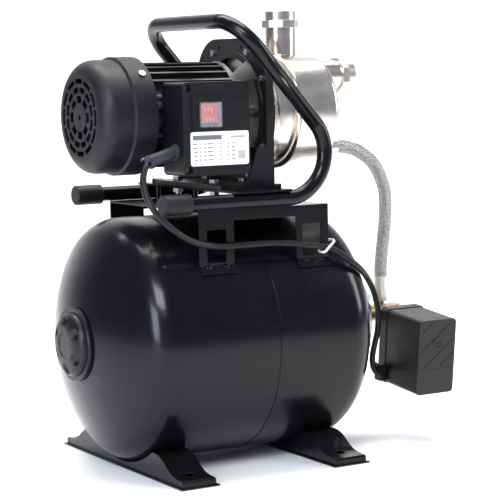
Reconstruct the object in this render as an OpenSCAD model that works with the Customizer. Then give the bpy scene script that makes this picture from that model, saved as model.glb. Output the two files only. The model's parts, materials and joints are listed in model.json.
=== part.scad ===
// Centrifugal water pump carried by a bent-tube frame over a horizontal pressure tank.
// +X runs along the pump shaft to the wet end, +Y across, +Z up. The origin is on the
// floor at the centre of the feet's bolt holes.

/* [Tank] */
// Outside diameter of the tank
tank_d = 276; // [250:1:300]
// Length of the tank over its two domes
tank_len = 352; // [330:1:420]
// Distance from the centre of the feet to the centre of the tank
tank_offset = 2; // [-10:1:10]
// Thickness of the tank's shells
tank_wall = 1.6; // [1.2:0.1:3]
// Outside radius of a dome's crown
dome_crown_r = 225; // [200:1:280]
// Outside radius of a dome's knuckle
dome_knuckle_r = 38; // [25:1:50]
// Distance from the middle of the tank to the girth seam
seam_offset = 11; // [0:1:30]
// Length of the right shell's lip inside the left shell
seam_lap = 12; // [8:1:20]
// Gap between the bottom of the tank and the floor
tank_clearance = 7; // [5:1:15]
// Radius of the valve cover
cover_r = 42; // [36:1:50]
// Height of the valve cover over its rim
cover_depth = 15; // [12:1:20]

/* [Feet] */
// Distance between the bolt holes along the tank
foot_span = 195; // [170:1:210]
// Width of a foot's channel
foot_w = 41; // [32:1:50]
// Length of a foot across the tank
foot_len = 292; // [270:1:320]
// Distance between the two bolt holes of a foot
foot_hole_span = 250; // [220:1:252]
// Radius of the foot's bolt holes
foot_hole_r = 4.5; // [3.5:0.1:5.5]
// Height of the foot's end pads
foot_pad_h = 9; // [6:1:12]
// Width of the turned-out lip round a foot
foot_lip = 3; // [2:0.5:5]

/* [Frame] */
// Length of the saddle bracket along the tank
saddle_len = 167; // [150:1:190]
// Distance from the centre of the feet to the left end of the saddle bracket
saddle_left = -71; // [-80:1:-60]
// Width of the saddle bracket over its legs
saddle_w = 216; // [208:1:224]
// Height of the saddle bracket's top over the tank
saddle_rise = 10.5; // [8:0.5:20]
// Thickness of the bracket and foot sheet
sheet_t = 2; // [1.5:0.1:3]
// Outside diameter of the handle tube
tube_d = 17; // [15:0.5:20]
// Wall of the handle tube
tube_wall = 1.5; // [1:0.1:2.5]
// Distance between the two rails, centre to centre
rail_span = 218; // [210:1:224]
// Distance from the centre of the feet to the rails' open ends
rail_end = 113.5; // [105:0.5:125]
// Radius of the loops at the front of the rails
loop_r = 50; // [42:1:60]
// Distance from the centre of the feet to the start of the loops
loop_start = 42; // [36:1:50]
// Angle through which the loops turn the tube
loop_turn = 131; // [122:1:138]
// Height of the grip over the rails
grip_rise = 197; // [185:1:220]
// Radius of the bends into the grip
grip_r = 41; // [34:1:50]
// Radius of the rail end caps
cap_r = 11.5; // [10.5:0.5:14]
// Length of the rail end caps
cap_len = 33; // [25:1:40]
// Thickness of the mounting plate
plate_t = 2.5; // [2:0.5:5]
// Length of the mounting plate along the rails
plate_len = 78; // [74:1:84]

/* [Motor] */
// Height of the shaft over the mounting plate
shaft_h = 83; // [80:1:95]
// Radius of the motor housing's core
housing_r = 51; // [50:0.5:54]
// Radius over the motor housing's fins
fin_r = 59; // [56:0.5:62]
// Thickness of a cooling fin
fin_t = 2.4; // [1.8:0.1:3.5]
// Radius of the stator core
stator_r = 44; // [42:0.5:46]
// Radius of the rotor core
rotor_r = 24; // [20:0.5:27]
// Radial gap between the rotor and stator cores
air_gap = 0.5; // [0.3:0.1:1]
// Radius of the shaft in its bearings
shaft_r = 7.5; // [6:0.5:8.5]
// Outside radius of the bearings
bearing_r = 17.5; // [15:0.5:19]
// Width of the bearings
bearing_w = 11; // [9:1:12]
// Radius of the fan cover's front
fan_cover_r = 63; // [60:1:70]
// Radius of the fan cover's rear band
fan_band_r = 66; // [64:1:74]
// Wall of the fan cover
fan_cover_wall = 2; // [1.5:0.5:3]
// Length of the fan cover
fan_cover_len = 60.5; // [54:0.5:72]
// Radius of the cooling fan
fan_r = 53; // [40:1:56]

/* [Terminal box] */
// Width of the terminal box along the shaft
box_w = 83.5; // [78:0.5:90]
// Height of the terminal box
box_h = 102; // [92:1:112]
// Depth of the terminal box's base
box_base_d = 13; // [10:1:20]
// Depth of the terminal box's cover
box_cover_d = 34; // [30:1:42]
// Wall of the terminal box
box_wall = 2.5; // [2:0.1:3.5]
// Width of the switch opening
switch_w = 27; // [24:0.5:30]
// Height of the switch opening
switch_h = 29; // [27:0.5:32]
// Angle through which the rocker tips
rocker_throw = 20; // [12:1:24]

/* [Wet end] */
// Radius of the pump body's drum
drum_r = 67.5; // [62:0.5:72]
// Radius of the pump body's neck
neck_r = 60; // [56:0.5:64]
// Radius of the pump body's flange
body_flange_r = 84; // [80:0.5:88]
// Wall of the pump body
body_wall = 1.5; // [1:0.1:2.5]
// Length of the pump body's neck
neck_len = 34; // [28:1:44]
// Length of the pump body's drum
drum_len = 59; // [52:1:72]
// Radius of the female pipe threads, at their crests
port_thread_r = 15.15; // [12:0.05:15.2]
// Outside radius of the port pipes
port_r = 18; // [17.2:0.1:20]
// Height of the outlet's mouth over the shaft
outlet_h = 116; // [108:1:124]
// Height of the inlet's axis over the shaft
inlet_h = 40.5; // [36:0.5:44]
// Length of the inlet from the drum's face
inlet_len = 56; // [46:1:68]

/* [Pressure switch] */
// Angle by which the switch hangs out of square
switch_droop = 6; // [0:1:10]
// Width of the pressure switch
pswitch_w = 53; // [48:1:60]
// Height of the pressure switch
pswitch_h = 90; // [80:1:104]
// Depth of the pressure switch's base
pswitch_base_d = 14; // [10:1:18]
// Depth of the pressure switch's cover
pswitch_cover_d = 66; // [56:1:76]

/* [Cord and hose] */
// Diameter of the power cord
cord_d = 7.2; // [6:0.1:8]
// Diameter of the braided hose
hose_d = 16; // [12:0.1:17]

/* [Hidden] */
$fn = 96;

// Colours
BLACK_PAINT = [0.03, 0.03, 0.035];
BLACK_PLASTIC = [0.06, 0.06, 0.065];
GREY_PLASTIC = [0.12, 0.12, 0.13];
STEEL = [0.72, 0.70, 0.68];
ZINC = [0.78, 0.79, 0.80];
BRASS = [0.78, 0.62, 0.30];
RUBBER = [0.05, 0.05, 0.05];
COPPER = [0.72, 0.42, 0.20];

// Clearances
fit_gap = 0.05;      // between a shaft or spigot and its bore
touch_gap = 0.02;    // between curved sheets that lie on each other
eps = 0.01;          // overlap that makes cuts and unions clean
hole_gap = 0.3;      // between a bolt and its clearance hole

// Tank
tank_r = tank_d / 2;
tank_axis_h = tank_r + tank_clearance;
dome_lift = sqrt(pow(dome_crown_r - dome_knuckle_r, 2) - pow(tank_r - dome_knuckle_r, 2));
dome_h = dome_crown_r - dome_lift;
dome_angle = atan2(tank_r - dome_knuckle_r, dome_lift);
cyl_half = tank_len / 2 - dome_h;
weld_w = 2;
weld_h = 0.7;
lip_r = tank_r - tank_wall - fit_gap;
valve_r = 8;
valve_out = 7;
pin_r = 1.2;
pin_travel = 2;
water_ring_r = 62;
water_hole_r = 36;
water_bolt_circle = 54.5;
water_nipple_r = 13;
ring_out = 2;
bladder_t = 2;

function crown_drop(r) = dome_crown_r - sqrt(pow(dome_crown_r, 2) - r * r);
ring_back_x = tank_len / 2 - crown_drop(water_ring_r) - 2;

// Half outline of a dome as [radius, distance past the end of the cylinder], tip first
function dome_points(inset) = concat(
    [for (i = [0:8]) let (a = dome_angle * i / 8)
        [(dome_crown_r - inset) * sin(a), (dome_crown_r - inset) * cos(a) - dome_lift]],
    [for (i = [1:8]) let (a = dome_angle + (90 - dome_angle) * i / 8)
        [tank_r - dome_knuckle_r + (dome_knuckle_r - inset) * sin(a),
            (dome_knuckle_r - inset) * cos(a)]]
);

// Frame
saddle_top = 2 * tank_r + tank_clearance + saddle_rise;
rail_h = saddle_top + tube_d / 2 + touch_gap;
plate_bottom = rail_h + tube_d / 2 + touch_gap;
plate_top = plate_bottom + plate_t;
plate_left = -28;
rail_y = rail_span / 2;
saddle_y = saddle_w / 2;
skirt_h = 12;
leg_l = [saddle_left, saddle_left + 44];
leg_r = [saddle_left + saddle_len - 42.5, saddle_left + saddle_len];
window_l = [leg_l[0] + 10, leg_l[1] - 10];
window_r = [leg_r[0] + 8, leg_r[1] - 9.5];
window_top = saddle_top - 21;
window_bottom = saddle_top - 57;
tab_bottom = tank_axis_h + sqrt(max(pow(tank_r, 2) - pow(saddle_y, 2), 0)) - 6.5;
frame_bolt_y = rail_y - tube_d / 2 - 7;
frame_bolt_x = [plate_left + 14, plate_left + 64];
foot_bolt_x = [-14, 24];
foot_bolt_y = 43;

// Motor, measured from the shaft
axis_h = plate_top + shaft_h;
motor_front = 10;
housing_len = 105;
motor_rear = motor_front - housing_len;
stator_x = [motor_rear + 15, motor_front - 28];
winding_x = [stator_x[0] - 13, stator_x[1] + 13];
shield_t = 6;
rear_bearing_x = motor_rear - shield_t + 1;
front_bearing_x = motor_front - bearing_w;
fan_cover_x = motor_rear - 3;
fan_face_x = fan_cover_x - fan_cover_len;
fan_x = [fan_face_x + 12, fan_cover_x - 12];

// Terminal box, from the shaft
box_x = [-82, -82 + box_w];
box_z = [-65, -65 + box_h];
box_back_y = -housing_r - 0.5;
box_joint_y = box_back_y - box_base_d;
box_front_y = box_joint_y - box_cover_d;
screw_x = box_x[0] + 7;
screw_z = [box_z[0] + 6.5, box_z[1] - 7];
switch_x = box_x[0] + 33;
switch_z = box_z[1] - 35.5;
pivot_y = box_front_y + 7;
boot_out = 5.4;
boot_wall = 1;
relief_at = [box_x[0], box_joint_y - 16, box_z[0] + 26];
relief_len = 38;
relief_pitch = 14;
relief_yaw = 8;

// Wet end, from the shaft
lantern_rear_x = motor_front;
lantern_rear_t = 6;
lantern_flange_x = 35;
lantern_flange_t = 9;
lantern_top = body_flange_r + 1;
lantern_half_w = body_flange_r - 5;
lantern_corner = 46;
body_bolt_circle = body_flange_r - 5;
body_bolt_angles = [29, 61, 119, 151, 209, 241, 299, 331];
seal_plate_x = lantern_flange_x + lantern_flange_t;
plate_right = min(plate_left + plate_len, seal_plate_x - 0.5);
seal_plate_t = 2;
body_x = seal_plate_x + seal_plate_t;
body_flange_t = 4;
drum_x = body_x + body_flange_t + neck_len;
face_x = drum_x + drum_len;
drum_corner = 8;
outlet_x = drum_x + 19;
pipe_top = outlet_h - 19;
pipe_end_x = face_x + inlet_len - 20.5;
hose_port_z = -45;
impeller_x = body_x + 6;
impeller_w = 10;
impeller_r = neck_r - 6;
port_wall = 1.6;

// Tank connection
connector_x = tank_offset + tank_len / 2 + 14;
hose_x = connector_x + 50;
pswitch_x = connector_x + 56;
connector_end_x = connector_x + 70;
connector_r = 11;
side_boss = 22;
nipple_hex = 7;
pswitch_back = side_boss + nipple_hex;
pswitch_top = 14;
gland_h = -66;
gland_y = -7;
gland_tilt = 45;
screw_h = -13;
gland_out = 15;

// Route of the power cord, from the strain relief to the pressure switch's gland
CORD = [
    [-119, -86, 347], [-126, -90, 340], [-131, -96, 328], [-133, -105, 315],
    [-130, -114, 301], [-121, -118, 288], [-109, -120, 277], [-94, -119, 267],
    [-77, -117, 260], [-59, -114, 256], [-41, -113, 254], [-23, -113, 254],
    [-5, -113, 254], [13, -113, 254], [31, -113, 253], [49, -113, 251],
    [66, -113, 248], [82, -113, 246], [97, -114, 242], [111, -118, 233],
    [123, -120, 224], [136, -115, 215], [150, -104, 206], [164, -91, 196],
    [178, -78, 184], [189, -67, 170], [197, -59, 156], [201, -53, 143],
    [202, -49, 129], [201, -45, 115], [200, -42, 102], [201, -40, 92],
    [204, -39, 84], [209, -38, 78]
];

// Route of the braided hose, from the pump body down to the connector
HOSE = [
    [178, 0, 351], [188, 0, 351], [198, 0, 349], [208, 0, 346], [217, 0, 341],
    [226, 0, 335], [234, 0, 327], [240, 0, 318], [245, 0, 307], [249, 0, 295],
    [250, 0, 283], [250, 0, 270], [249, 0, 256], [247, 0, 241], [245, 0, 226],
    [243, 0, 211], [242, 0, 200], [242, 0, 190]
];

// Where a tank or shaft part is placed
module on_tank() {
    translate([tank_offset, 0, tank_axis_h]) children();
}

module on_shaft() {
    translate([0, 0, axis_h]) children();
}

// A straight round bar or ring along X
module round_x(x0, x1, r, bore = 0) {
    translate([x0, 0, 0]) rotate([0, 90, 0]) difference() {
        cylinder(h = x1 - x0, r = r);
        if (bore > 0) translate([0, 0, -1]) cylinder(h = x1 - x0 + 2, r = bore);
    }
}

// Turns a half outline of [radius, x] points about the X axis
module turn_x() {
    rotate([0, 90, 0]) rotate_extrude() children();
}

// A hexagonal bar along X
module hex_x(x0, x1, across) {
    translate([x0, 0, 0]) rotate([0, 90, 0]) cylinder(h = x1 - x0, r = across / sqrt(3), $fn = 6);
}

// A round-cornered rectangle from one corner to the other
module rounded_rect(low, high, r) {
    size = high - low;
    translate([low[0] + r, low[1]]) square([size[0] - 2 * r, size[1]]);
    translate([low[0], low[1] + r]) square([size[0], size[1] - 2 * r]);
    for (x = [low[0] + r, high[0] - r], y = [low[1] + r, high[1] - r])
        translate([x, y]) circle(r, $fn = 32);
}

// Extrudes an outline drawn in X and Z from y_far towards -Y to y_near
module extrude_y(y_near, y_far) {
    translate([0, y_far, 0]) rotate([90, 0, 0]) linear_extrude(y_far - y_near) children();
}

// Copies children at equal angles about the X axis
module around_x(count, start = 0) {
    for (i = [0:count - 1]) rotate([start + 360 * i / count, 0, 0]) children();
}

// Copies children to the bolts that hold the pump body
module at_body_bolts() {
    for (a = body_bolt_angles) rotate([a, 0, 0]) translate([0, 0, body_bolt_circle]) children();
}

// A hexagon bolt along X with its head at x_head, reaching to x_end
module bolt_x(x_head, x_end, r, head_h, across) {
    round_x(min(x_head, x_end), max(x_head, x_end), r);
    if (x_end > x_head) hex_x(x_head - head_h, x_head + eps, across);
    else hex_x(x_head - eps, x_head + head_h, across);
}

// Sweeps a circle along a list of points
function unit(v) = v / norm(v);
function route_dir(p, i) =
    i == 0 ? unit(p[1] - p[0])
    : i == len(p) - 1 ? unit(p[i] - p[i - 1])
    : unit(unit(p[i + 1] - p[i]) + unit(p[i] - p[i - 1]));
function square_to(n, t) = unit(n - (n * t) * t);
function route_normals(p, i, n) =
    i == len(p) ? []
    : let (here = square_to(n, route_dir(p, i))) concat([here], route_normals(p, i + 1, here));

module route_tube(p, d, sides) {
    normals = route_normals(p, 0, [0.3, 0.9, 0.2]);
    points = [for (i = [0:len(p) - 1]) let (t = route_dir(p, i), n = normals[i], b = cross(t, n))
        for (j = [0:sides - 1]) let (a = 360 * j / sides)
            p[i] + d / 2 * (cos(a) * n + sin(a) * b)];
    walls = [for (i = [0:len(p) - 2]) for (j = [0:sides - 1]) let (k = (j + 1) % sides)
        [i * sides + j, (i + 1) * sides + j, (i + 1) * sides + k, i * sides + k]];
    last = (len(p) - 1) * sides;
    polyhedron(points, concat(
        walls,
        [[for (j = [0:sides - 1]) j]],
        [[for (j = [0:sides - 1]) last + sides - 1 - j]]
    ));
}

module tank_left_shell() {
    outer = dome_points(0);
    inner = dome_points(tank_wall);
    color(BLACK_PAINT) on_tank() difference() {
        turn_x() polygon(concat(
            [for (q = outer) [q[0], -cyl_half - q[1]]],
            [[tank_r, seam_offset], [tank_r - tank_wall, seam_offset]],
            [for (i = [len(inner) - 1:-1:0]) [inner[i][0], -cyl_half - inner[i][1]]]
        ));
        round_x(-tank_len / 2 - 5, -tank_len / 2 + 10, valve_r + fit_gap);
    }
}

module tank_right_shell() {
    outer = dome_points(0);
    inner = dome_points(tank_wall);
    shoulder = seam_offset + weld_w;
    color(BLACK_PAINT) on_tank() difference() {
        union() {
            turn_x() polygon(concat(
                [for (q = outer) [q[0], cyl_half + q[1]]],
                [[tank_r, shoulder], [lip_r, shoulder], [lip_r, seam_offset - seam_lap],
                    [lip_r - tank_wall, seam_offset - seam_lap],
                    [lip_r - tank_wall, shoulder + 1], [tank_r - tank_wall, shoulder + 4]],
                [for (i = [len(inner) - 1:-1:0]) [inner[i][0], cyl_half + inner[i][1]]]
            ));
            round_x(ring_back_x, tank_len / 2 + ring_out, water_ring_r);
        }
        round_x(ring_back_x - 20, tank_len / 2 + 10, water_hole_r);
        around_x(6) translate([0, 0, water_bolt_circle])
            round_x(ring_back_x - 20, tank_len / 2 + 10, 3 + hole_gap);
    }
}

module girth_weld() {
    color(BLACK_PAINT) on_tank()
        round_x(seam_offset, seam_offset + weld_w, tank_r + weld_h, lip_r);
}

module bladder() {
    belly_r = tank_r - 22;
    neck = water_hole_r - 4;
    rim_x = tank_len / 2 + ring_out;
    far_x = -60;
    outer = [for (a = [0:10:90]) [belly_r * sin(a), far_x - 40 * cos(a)]];
    near = [for (a = [0:15:90]) [neck + (belly_r - neck) * cos(a), 60 + 60 * sin(a)]];
    inner = [for (a = [0:10:90]) [(belly_r - bladder_t) * sin(a), far_x - (40 - bladder_t) * cos(a)]];
    inner_near = [for (a = [0:15:90])
        [neck - bladder_t + (belly_r - neck) * cos(a), 60 + (60 - bladder_t) * sin(a)]];
    color(RUBBER) on_tank() turn_x() polygon(concat(
        outer, near,
        [[neck, rim_x], [neck + 14, rim_x], [neck + 14, rim_x + 2.5],
            [neck - bladder_t, rim_x + 2.5]],
        [for (i = [len(inner_near) - 1:-1:0]) inner_near[i]],
        [for (i = [len(inner) - 1:-1:0]) inner[i]]
    ));
}

module water_flange() {
    plate_x = tank_len / 2 + ring_out + 2.5;
    color(ZINC) on_tank() difference() {
        union() {
            round_x(plate_x, plate_x + 4, water_ring_r);
            round_x(plate_x, plate_x + 20, water_nipple_r);
        }
        round_x(plate_x - 1, plate_x + 30, water_nipple_r - 3);
        around_x(6) translate([0, 0, water_bolt_circle])
            round_x(plate_x - 1, plate_x + 5, 3 + hole_gap);
    }
}

module water_flange_bolts() {
    head_x = tank_len / 2 + ring_out + 6.5;
    nut_x = ring_back_x - touch_gap;
    color(ZINC) on_tank() around_x(6) translate([0, 0, water_bolt_circle]) {
        bolt_x(head_x, nut_x - 7, 3, 4, 10);
        hex_x(nut_x - 5, nut_x, 10);
    }
}

module air_valve() {
    tip = -tank_len / 2;
    color(BRASS) on_tank() difference() {
        union() {
            round_x(tip - valve_out, tip + 12, 4);
            round_x(tip - 2, tip, 14);
            round_x(tip - eps, tip + tank_wall + 4, valve_r);
        }
        round_x(tip - valve_out - 1, tip + 13, pin_r + 0.08);
    }
}

module air_valve_pin() {
    tip = -tank_len / 2;
    color(STEEL) on_tank() round_x(tip - valve_out + 0.5, tip + 9, pin_r);
}

module valve_cover() {
    back = -tank_len / 2 + crown_drop(cover_r - 3.5) - 0.1;
    front = back - cover_depth;
    knob_r = cover_r - 6;
    shoulder = [for (a = [0:15:90])
        [15 + (knob_r - 15) * sin(a), front + (cover_depth - 4.5) * (1 - cos(a))]];
    color(BLACK_PLASTIC) on_tank() difference() {
        turn_x() polygon(concat(
            [[0, front + 0.8], [13, front + 0.8], [13.6, front]],
            shoulder,
            [[knob_r, back - 4], [cover_r - 1, back - 4], [cover_r, back - 3], [cover_r, back],
                [cover_r - 3.4, back], [cover_r - 9, back - 2], [18, back - 4],
                [17, front + 2.5], [0, front + 2.5]]
        ));
        around_x(6) translate([front - 4, 0, 29]) sphere(10, $fn = 40);
    }
}

// Half outline of a foot seen along the tank, as [distance from the middle, height]
foot_curve = [
    [foot_len / 2, 0], [foot_len / 2, foot_pad_h - 2], [foot_len / 2 - 2, foot_pad_h],
    [foot_len / 2 - 14, foot_pad_h + 0.6], [foot_len / 2 - 24, foot_pad_h + 2.5],
    [foot_len / 2 - 33, foot_pad_h + 7], [foot_len / 2 - 41, foot_pad_h + 12.5],
    [foot_len / 2 - 49, foot_pad_h + 17], [foot_len / 2 - 57, foot_pad_h + 19.6],
    [foot_len / 2 - 66, foot_pad_h + 20.5], [foot_len / 2 - 76, foot_pad_h + 20]
];

module foot_side(inset) {
    half = [for (q = foot_curve) [q[0] - inset * (q[0] > foot_len / 2 - 3 ? 1 : 0),
        max(q[1] - inset, 0)]];
    difference() {
        polygon(concat(half, [for (i = [len(half) - 1:-1:0]) [-half[i][0], half[i][1]]]));
        translate([0, tank_axis_h]) circle(tank_r + touch_gap + inset, $fn = 160);
    }
}

module foot(x) {
    color(BLACK_PAINT) translate([x, 0, 0]) difference() {
        union() {
            difference() {
                union() {
                    translate([-foot_w / 2, 0, 0]) rotate([90, 0, 90])
                        linear_extrude(foot_w) foot_side(0);
                    translate([-foot_w / 2 - foot_lip, -foot_len / 2 - foot_lip, 0])
                        cube([foot_w + 2 * foot_lip, foot_len + 2 * foot_lip, sheet_t]);
                }
                translate([-foot_w / 2 + sheet_t, 0, 0]) rotate([90, 0, 90])
                    linear_extrude(foot_w - 2 * sheet_t) foot_side(sheet_t);
                translate([-foot_w / 2 + sheet_t, -foot_len / 2 + sheet_t, -1])
                    cube([foot_w - 2 * sheet_t, foot_len - 2 * sheet_t, sheet_t + 2]);
            }
            // Sleeves under the pads that the floor bolts pass through
            for (y = [-1, 1]) translate([0, y * foot_hole_span / 2, 0])
                cylinder(h = foot_pad_h - sheet_t + 0.5, r = foot_hole_r + 3);
        }
        for (y = [-1, 1]) translate([0, y * foot_hole_span / 2, -1])
            cylinder(h = foot_pad_h + 20, r = foot_hole_r);
    }
}

module left_foot() {
    foot(-foot_span / 2);
}

module right_foot() {
    foot(foot_span / 2);
}

// One leg of the saddle bracket on the near side, with its window and welded tab
module saddle_leg(x, window) {
    difference() {
        union() {
            translate([x[0], -saddle_y, tab_bottom + 6])
                cube([x[1] - x[0], sheet_t, saddle_top - tab_bottom - 6]);
            intersection() {
                translate([0, 0, tank_axis_h])
                    round_x(x[0], x[1], tank_r + sheet_t, tank_r + touch_gap);
                translate([x[0], -saddle_y - 12, tab_bottom])
                    cube([x[1] - x[0], 14, 8.5]);
            }
        }
        translate([window[0], -saddle_y - 5, window_bottom])
            cube([window[1] - window[0], 10, window_top - window_bottom]);
        translate([0, 0, tank_axis_h]) round_x(x[0] - 1, x[1] + 1, tank_r + touch_gap);
    }
}

module saddle_bracket() {
    color(BLACK_PAINT) {
        difference() {
            translate([saddle_left, -saddle_y, saddle_top - sheet_t])
                cube([saddle_len, saddle_w, sheet_t]);
            for (x = frame_bolt_x, y = [-1, 1])
                translate([x, y * frame_bolt_y, saddle_top - 10]) cylinder(h = 20, r = 4 + hole_gap);
        }
        for (side = [0, 1]) mirror([0, side, 0]) {
            translate([saddle_left, -saddle_y, saddle_top - skirt_h])
                cube([saddle_len, sheet_t, skirt_h]);
            saddle_leg(leg_l, window_l);
            saddle_leg(leg_r, window_r);
        }
    }
}

// Route of the handle tube: rails, loops, sloping runs, bends and grip
diag_start = [loop_start + loop_r * sin(loop_turn), rail_h + loop_r * (1 - cos(loop_turn))];
diag_len = (rail_h + grip_rise - diag_start[1]) / sin(loop_turn) - grip_r;
grip_x = diag_start[0] + (diag_len + grip_r) * cos(loop_turn);

// A straight length of the handle tube along Z
module tube_run(length) {
    difference() {
        cylinder(h = length, r = tube_d / 2);
        translate([0, 0, -1]) cylinder(h = length + 2, r = tube_d / 2 - tube_wall);
    }
}

// A bend of the handle tube about Z
module tube_bend(r, turn) {
    rotate_extrude(angle = turn) translate([r, 0]) difference() {
        circle(tube_d / 2);
        circle(tube_d / 2 - tube_wall);
    }
}

module handle_half() {
    translate([0, -rail_y, rail_h]) {
        translate([-rail_end, 0, 0]) rotate([0, 90, 0]) tube_run(rail_end + loop_start);
        translate([loop_start, 0, loop_r]) rotate([90, 90, 0]) tube_bend(loop_r, loop_turn);
    }
    translate([diag_start[0], -rail_y, diag_start[1]]) rotate([0, 90 - loop_turn, 0]) {
        tube_run(diag_len);
        translate([0, grip_r, diag_len]) rotate([90, 0, -90]) tube_bend(grip_r, 90);
        translate([0, grip_r, diag_len + grip_r]) rotate([-90, 0, 0]) tube_run(rail_y - grip_r);
    }
}

module handle_frame() {
    color(BLACK_PAINT) for (side = [0, 1]) mirror([0, side, 0]) handle_half();
}

module rail_cap(y) {
    color(GREY_PLASTIC) translate([0, y, rail_h]) difference() {
        union() {
            round_x(-rail_end - 1.5, -rail_end - 2.5 + cap_len, cap_r);
            round_x(-rail_end - 2.5, -rail_end - 1.5 + eps, cap_r - 1);
        }
        round_x(-rail_end, -rail_end + cap_len, tube_d / 2 + touch_gap);
    }
}

module near_rail_cap() {
    rail_cap(-rail_y);
}

module far_rail_cap() {
    rail_cap(rail_y);
}

module mounting_plate() {
    plate_y = rail_y + tube_d / 2;
    color(BLACK_PAINT) difference() {
        translate([plate_left, -plate_y, plate_bottom])
            cube([plate_right - plate_left, 2 * plate_y, plate_t]);
        for (y = [-1, 1]) {
            for (x = frame_bolt_x) translate([x, y * frame_bolt_y, plate_bottom - 1])
                cylinder(h = plate_t + 2, r = 4 + hole_gap);
            for (x = foot_bolt_x) translate([x, y * foot_bolt_y, plate_bottom - 1])
                cylinder(h = plate_t + 2, r = 3.5 + hole_gap);
        }
    }
}

// A vertical hexagon bolt with a nut, clamping from z_bottom to z_top
module clamp_bolt(z_bottom, z_top, r, across) {
    translate([0, 0, z_bottom - 8]) cylinder(h = z_top - z_bottom + 8, r = r);
    translate([0, 0, z_top]) cylinder(h = 5, r = across / sqrt(3), $fn = 6);
    translate([0, 0, z_bottom - 6]) cylinder(h = 6, r = across / sqrt(3), $fn = 6);
}

module frame_bolts() {
    color(ZINC) for (x = frame_bolt_x, y = [-1, 1])
        translate([x, y * frame_bolt_y, 0]) clamp_bolt(saddle_top - sheet_t, plate_top, 4, 13);
}

module motor_foot_bolts() {
    color(ZINC) for (x = foot_bolt_x, y = [-1, 1])
        translate([x, y * foot_bolt_y, 0]) clamp_bolt(plate_bottom, plate_top + 5, 3.5, 11);
}

module zip_tie() {
    tie_x = (window_r[1] + leg_r[1]) / 2;
    tie_half = [9.2, 6.4];
    color("white") translate([tie_x, -saddle_y - 3.4, saddle_top - 47.5]) rotate([0, -42, 0])
        translate([0, 0, -1.3]) linear_extrude(2.6) difference() {
            rounded_rect(-tie_half - [1.2, 1.2], tie_half + [1.2, 1.2], 4);
            rounded_rect(-tie_half, tie_half, 3);
        }
}

module motor_housing() {
    bare = 40;
    color(BLACK_PAINT) on_shaft() difference() {
        union() {
            round_x(motor_rear, motor_front, housing_r);
            for (a = [0:12:348]) if (abs(a - 90) > bare) rotate([a, 0, 0])
                translate([motor_rear, -fin_t / 2, housing_r - 2])
                    cube([housing_len, fin_t, fin_r - housing_r + 2]);
            translate([box_x[0] + 4, box_back_y, box_z[0] + 20])
                cube([box_w - 8, 15, box_h - 28]);
        }
        round_x(motor_rear - 1, motor_front + 1, stator_r + fit_gap);
        around_x(4, 45) translate([0, 0, (stator_r + housing_r) / 2])
            round_x(motor_front - 12, motor_front + 1, 2);
    }
}

module stator_core() {
    color(STEEL) on_shaft() round_x(stator_x[0], stator_x[1], stator_r, rotor_r + air_gap);
}

module stator_windings() {
    color(COPPER) on_shaft() {
        round_x(winding_x[0], stator_x[0], stator_r - 4, rotor_r + 5);
        round_x(stator_x[1], winding_x[1], stator_r - 4, rotor_r + 5);
    }
}

module rotor_core() {
    color(STEEL) on_shaft() round_x(stator_x[0] - 2, stator_x[1] + 2, rotor_r, shaft_r + 2.5 + touch_gap);
}

module motor_shaft() {
    nut_x = impeller_x + impeller_w;
    color(STEEL) on_shaft() {
        round_x(fan_x[0] - 4, rear_bearing_x + bearing_w, shaft_r - 1.5);
        round_x(rear_bearing_x, rear_bearing_x + bearing_w, shaft_r);
        round_x(rear_bearing_x + bearing_w - eps, front_bearing_x + eps, shaft_r + 2.5);
        round_x(front_bearing_x, body_x, shaft_r);
        round_x(body_x - eps, nut_x + 6, shaft_r - 1.5);
        hex_x(nut_x, nut_x + 5, 17);
    }
}

module rear_bearing() {
    color(STEEL) on_shaft()
        round_x(rear_bearing_x, rear_bearing_x + bearing_w - eps, bearing_r, shaft_r + fit_gap);
}

module front_bearing() {
    color(STEEL) on_shaft()
        round_x(front_bearing_x + eps, motor_front, bearing_r, shaft_r + fit_gap);
}

module rear_end_shield() {
    inner_x = rear_bearing_x + bearing_w;
    color(BLACK_PAINT) on_shaft() difference() {
        union() {
            round_x(motor_rear - shield_t, motor_rear, fin_r);
            round_x(motor_rear - eps, inner_x, bearing_r + 5);
        }
        round_x(rear_bearing_x, inner_x + 1, bearing_r + touch_gap);
        round_x(motor_rear - shield_t - 1, inner_x + 1, shaft_r + 1);
        around_x(4) translate([0, 0, fin_r - 4])
            round_x(motor_rear - shield_t - 1, motor_rear + 1, 1.6);
    }
}

module cooling_fan() {
    disc_x = fan_x[1] - 4;
    color(BLACK_PLASTIC) on_shaft() difference() {
        union() {
            round_x(fan_x[0], fan_x[1], 13);
            round_x(disc_x, fan_x[1], fan_r);
            around_x(7) translate([fan_x[0] + 4, -1.2, 11])
                cube([disc_x - fan_x[0] - 4 + eps, 2.4, fan_r - 12]);
        }
        round_x(fan_x[0] - 1, fan_x[1] + 1, shaft_r - 1.5 + fit_gap);
    }
}

// One vent in the fan cover's face: a piece of a ring, centred on +Z
module vent(r_in, r_out, width) {
    difference() {
        circle(r_out);
        circle(r_in);
        translate([width / 2, -r_out - 1]) square([r_out + 1, 2 * r_out + 2]);
        translate([-width / 2 - r_out - 1, -r_out - 1]) square([r_out + 1, 2 * r_out + 2]);
        translate([-r_out - 1, -r_out - 1]) square([2 * r_out + 2, r_out + 1]);
    }
}

// The fan cover's half outline, inset by the wall for its inside
function fan_cover_points(inset, corner) = concat(
    [for (a = [0:10:90]) [fan_cover_r - corner + (corner - inset) * sin(a),
        fan_face_x + corner - (corner - inset) * cos(a)]],
    [[fan_cover_r - inset, fan_cover_x - 24 - inset / 2], [fan_band_r - inset, fan_cover_x - 22],
        [fan_band_r - inset, fan_cover_x + 4]]
);

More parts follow.
